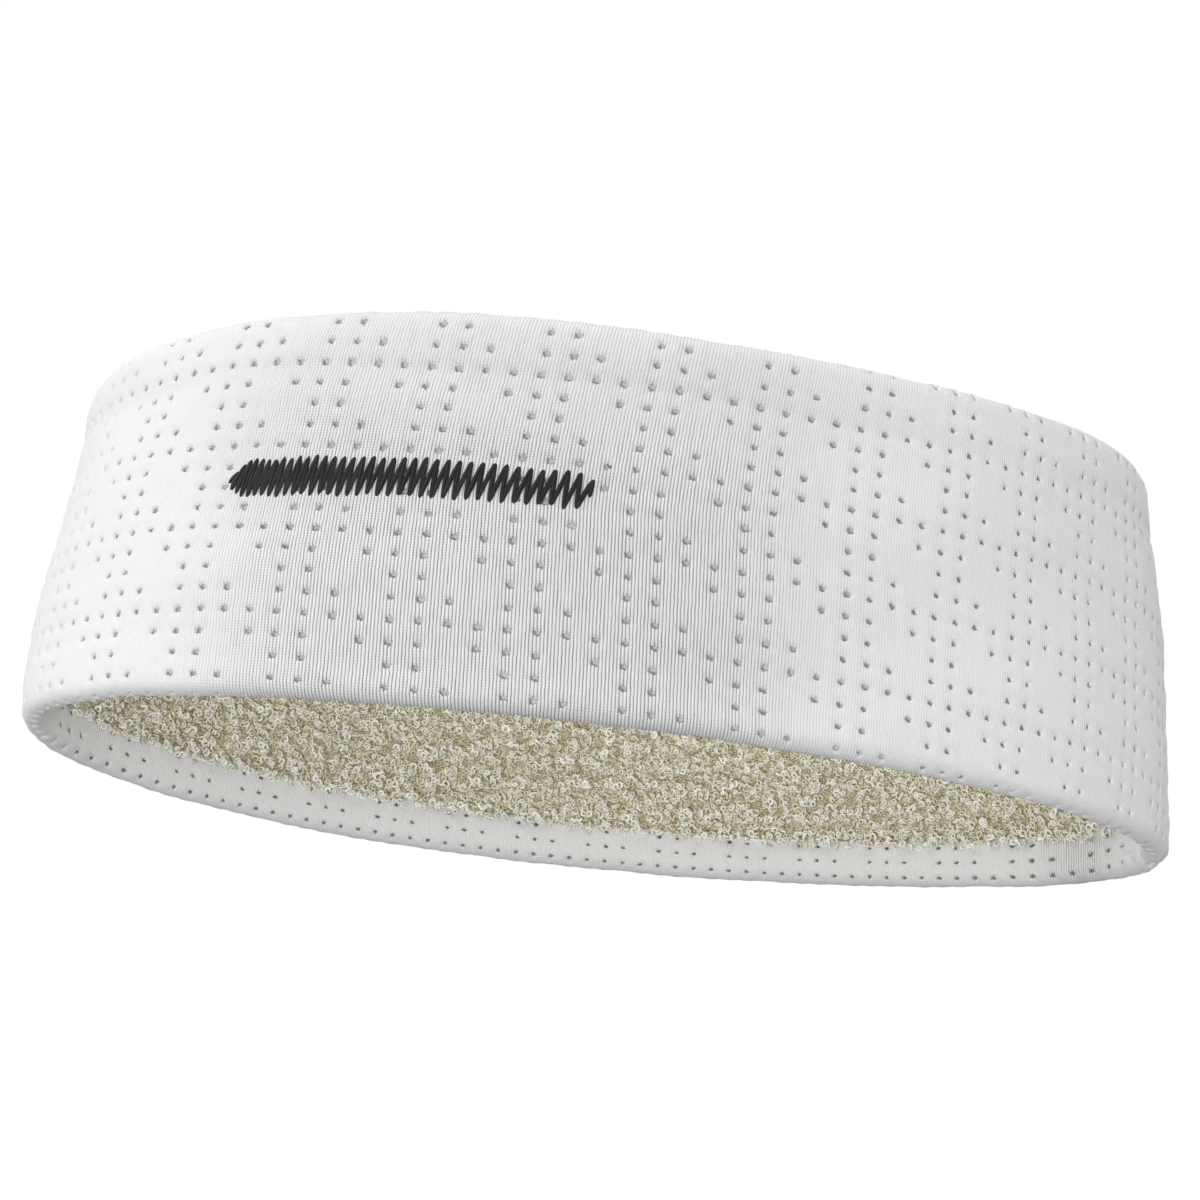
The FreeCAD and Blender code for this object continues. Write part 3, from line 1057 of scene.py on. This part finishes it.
STITCH_PITCH = 1.6 * MM
STITCH_POINTS = 5
THREAD_RADIUS = 0.14 * MM
JOINT_INSET = 3.1 * MM
JOINT_REACH = 0.6 * MM
OVERLOCK_REACH = 1.4 * MM
BOBBIN_INSET = 1.05 * MM
BOBBIN_MARGIN = 1 * MM
BACKING_INSET = 0.85 * MM
BACKING_LOW, BACKING_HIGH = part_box("embroidery_backing")
BACKING_PLACES = [front_place(x, BAR_HEIGHT) for x in (BACKING_LOW.x, BACKING_HIGH.x)]
BACKING_HALF = (BACKING_HIGH.z - BACKING_LOW.z) / 2


def stitches(name, place, height, inset, material):
    """Straight stitches of thread from knot to knot."""
    knots = np.stack([place, height, inset], axis=-1)
    share = np.linspace(0, 1, STITCH_POINTS)[None, :, None]
    way = knots[:-1, None, :] + (knots[1:] - knots[:-1])[:, None, :] * share
    paths = on_loop(way[..., 0], way[..., 1], way[..., 2])
    outward = on_loop(way[..., 0], way[..., 1], way[..., 2] - NUDGE) - paths
    radius = np.full(paths.shape[:2], THREAD_RADIUS)
    points, faces = tube_mesh(paths, 4, radius, outward)
    return new_object(name, points, faces, material)


def joining_stitches(name, height, material):
    """The seam that joins the lining to a hem, right round the loop behind their edges."""
    knots = 2 * round(PERIMETER / STITCH_PITCH) + 1
    place = np.linspace(0, PERIMETER, knots)
    inset = np.full(knots, JOINT_INSET)
    return stitches(name, place, height + JOINT_REACH * zigzag(knots), inset, material)


def closing_stitches(name, place, inset_at, material):
    """The overlocked seam that closes a strip into a loop, from hem to hem."""
    height = np.arange(HEM_HEIGHT, BAND_HEIGHT - HEM_HEIGHT, STITCH_PITCH / 2)
    place = place + OVERLOCK_REACH * zigzag(len(height))
    return stitches(name, place, height, inset_at(place, height), material)


def bobbin_stitches(material):
    """The lower thread that locks the zigzag behind its backing."""
    start, end = BAR_PLACES
    place = np.linspace(start + BOBBIN_MARGIN, end - BOBBIN_MARGIN, 2 * STROKES // 3)
    height = BAR_HEIGHT + 0.4 * BAR_RISE * zigzag(len(place))
    inset = behind_wall(place, height, BOBBIN_INSET)
    return stitches("bobbin_stitches", place, height, inset, material)


def at_backing(place, height):
    """The inset of what lies right behind the knit."""
    return behind_wall(place, height, BACKING_INSET)


def at_joint(place, height):
    """The inset of the lining's edges, the same all over."""
    return np.full(np.shape(place), JOINT_INSET)


def backing_patch(material):
    """The oblong of non-woven cloth behind the embroidery."""
    along, up = 90, 15
    place = np.linspace(*BACKING_PLACES, along)
    from_end = np.minimum(place - place[0], place[-1] - place)
    reach = np.maximum(round_ended(from_end, BACKING_HALF), 0.3 * MM)
    place = np.repeat(place[:, None], up, axis=1)
    height = BAR_HEIGHT + reach[:, None] * np.linspace(-1, 1, up)
    points = on_loop(place, height, at_backing(place, height)).reshape(-1, 3)
    faces = grid_faces(along, up, False)[:, (0, 3, 2, 1)]
    return new_object("backing_patch", points, faces, material)


# --- floor, light and camera


FLOOR_REACH = 3.0


def pale_floor(height):
    """A pale floor under the band, seen only from above, so that the band shows from below."""
    grey = (0.82, 0.82, 0.82, 1)
    material, tree, shader = node_material("pale_floor", base_color=grey, roughness=0.9)
    clear = tree.nodes.new("ShaderNodeBsdfTransparent")
    path = tree.nodes.new("ShaderNodeLightPath")
    side = tree.nodes.new("ShaderNodeNewGeometry")
    above = maths(tree, "SUBTRACT", 1.0, side.outputs["Backfacing"])
    seen = times(tree, path.outputs["Is Camera Ray"], above)
    mix_surface(tree, seen, clear, shader, node_of_type(tree, "OUTPUT_MATERIAL"))
    sides = ((-1, -1), (1, -1), (1, 1), (-1, 1))
    corners = [(x * FLOOR_REACH, y * FLOOR_REACH, height) for x, y in sides]
    floor = new_object("floor", corners, [(0, 1, 2, 3)], material, smooth=False)


def soft_world(above, below, leftward):
    """White behind the object; the light on it is brighter from above and from the left."""
    world = bpy.data.worlds.new("studio")
    bpy.context.scene.world = world
    world.use_nodes = True
    tree = world.node_tree
    tree.nodes.clear()
    output = tree.nodes.new("ShaderNodeOutputWorld")
    path = tree.nodes.new("ShaderNodeLightPath")
    light = tree.nodes.new("ShaderNodeBackground")
    seen = tree.nodes.new("ShaderNodeBackground")
    for background in (light, seen):
        background.inputs["Color"].default_value = (1, 1, 1, 1)
    coordinates = tree.nodes.new("ShaderNodeTexCoord")
    parts = tree.nodes.new("ShaderNodeSeparateXYZ")
    tree.links.new(coordinates.outputs["Generated"], parts.inputs["Vector"])
    slope = times(tree, parts.outputs["Z"], (above - below) / 2)
    slope = plus(tree, slope, times(tree, parts.outputs["X"], -leftward))
    strength = plus(tree, slope, (above + below) / 2)
    tree.links.new(strength, light.inputs["Strength"])
    mix_surface(tree, path.outputs["Is Camera Ray"], light, seen, output)


LIGHT_AIM = Vector((0, 0, 0.03))


def area_light(name, place, size, power):
    """A square soft light that faces the band."""
    data = bpy.data.lights.new(name, "AREA")
    data.size = size
    data.energy = power
    lamp = bpy.data.objects.new(name, data)
    lamp.location = place
    lamp.rotation_mode = "QUATERNION"
    lamp.rotation_quaternion = (LIGHT_AIM - Vector(place)).to_track_quat("-Z", "Y")
    lamp.visible_camera = False
    bpy.context.scene.collection.objects.link(lamp)


# The camera's angles are in radians.
ELEVATION = -0.333
DISTANCE = 772 * MM
ROLL = 0.114
LENS_MM = 121.3
LOOK_RIGHT = -2.0 * MM
LOOK_UP = 4.7 * MM


def make_camera():
    """A long lens from in front and a little below, rolled slightly, as the band is seen."""
    data = bpy.data.cameras.new("camera")
    data.lens = LENS_MM
    data.sensor_width = 36
    data.clip_start, data.clip_end = 0.05, 20
    camera = bpy.data.objects.new("camera", data)
    back = Vector((0, -math.cos(ELEVATION), math.sin(ELEVATION)))
    centre = Vector((0, 0, BAND_HEIGHT / 2))
    camera.location = centre + back * DISTANCE
    up = Vector((0, 0, 1)) - back * back.z
    up.normalize()
    right = up.cross(back)
    aim = centre + right * LOOK_RIGHT + up * LOOK_UP
    camera.rotation_mode = "QUATERNION"
    level = (aim - camera.location).to_track_quat("-Z", "Y")
    camera.rotation_quaternion = level @ Matrix.Rotation(ROLL, 3, "Z").to_quaternion()
    bpy.context.scene.collection.objects.link(camera)
    bpy.context.scene.camera = camera


# --- everything together


def add_piece(piece, node=None):
    """Ties a piece to the band, and hides the CAD piece it stands for."""
    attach(piece, "root")
    if node:
        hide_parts(node)
    return piece


def add_shell():
    """The perforated knit."""
    # The second colour is the painted shade at the bottom of the rib grooves.
    knit = knit_material("perforated_knit", (0.94, 0.94, 0.94), (0.14, 0.14, 0.145))
    shell = add_piece(knit_shell(knit), "outer_shell")
    return shell


# From dark to light these are painted shade and painted light on the pile; rosy and green also
# give the yarn its own tones.
YARNS = {
    "shaded_deep": (0.64, 0.55, 0.33),
    "rosy": (0.88, 0.80, 0.64),
    "cream": (0.95, 0.92, 0.77),
    "pale": (0.98, 0.97, 0.90),
    "green": (0.87, 0.90, 0.70),
}


def add_lining():
    """The terry: its ground cloth, its knitted back and its pile, in stretches."""
    ground = add_piece(ground_cloth(ground_with_painted_shade()), "terry_lining")
    # Painted shade: the lining's back is cream like the terry, but is painted grey for the shade
    # it lies in behind the holes.
    shaded_lining_knit = plain_cloth("lining_back_cloth", (0.58, 0.58, 0.57), (0.78, 0.78, 0.77))
    back = add_piece(lining_back(shaded_lining_knit))
    yarns = [yarn_material("terry_yarn_" + shade, colour) for shade, colour in YARNS.items()]
    for number in range(STRETCHES):
        first = PERIMETER * number / STRETCHES
        last = PERIMETER * (number + 1) / STRETCHES
        pile = terry_pile("terry_pile_%d" % (number + 1), yarns, first, last)
        add_piece(pile)


def add_embroidery(thread):
    """The bar's zigzag, and the thread and the backing behind it."""
    black = yarn_material("embroidery_thread", (0.012, 0.012, 0.014), roughness=0.42, sheen=0.1)
    add_piece(embroidered_bar(black), "embroidered_bar")
    add_piece(bobbin_stitches(thread), "embroidery_bobbin_thread")
    backing = plain_cloth("backing_cloth", (0.42, 0.42, 0.41), (0.62, 0.62, 0.62))
    patch = add_piece(backing_patch(backing), "embroidery_backing")


def add_seams(thread):
    """The stitches that join the lining to the hems, and those that close each loop."""
    for rim, height in (("lower", HEM_HEIGHT), ("upper", BAND_HEIGHT - HEM_HEIGHT)):
        joint = joining_stitches(rim + "_joining_stitches", height, thread)
        add_piece(joint, rim + "_joining_seam")
    closings = (("shell", SEAM_PLACE, at_backing), ("lining", LINING_SEAM_PLACE, at_joint))
    for strip, place, inset_at in closings:
        seam = closing_stitches(strip + "_closing_stitches", place, inset_at, thread)
        add_piece(seam, strip + "_closing_seam")


make_camera()
soft_world(above=1.3, below=0.15, leftward=0.08)
area_light("key", (-1.15, -0.4, 0.4), size=0.6, power=3.9)
area_light("low_left", (-0.25, -0.95, -0.5), size=0.15, power=4.7)
area_light("low_right", (0.7, -0.9, -0.5), size=0.3, power=0.8)

knit_piece = add_shell()
add_lining()
sewing_thread = yarn_material("sewing_thread", (0.8, 0.8, 0.79))
add_embroidery(sewing_thread)
add_seams(sewing_thread)
bpy.context.scene.view_settings.view_transform = "Standard"

low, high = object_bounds()
pale_floor(low[2])
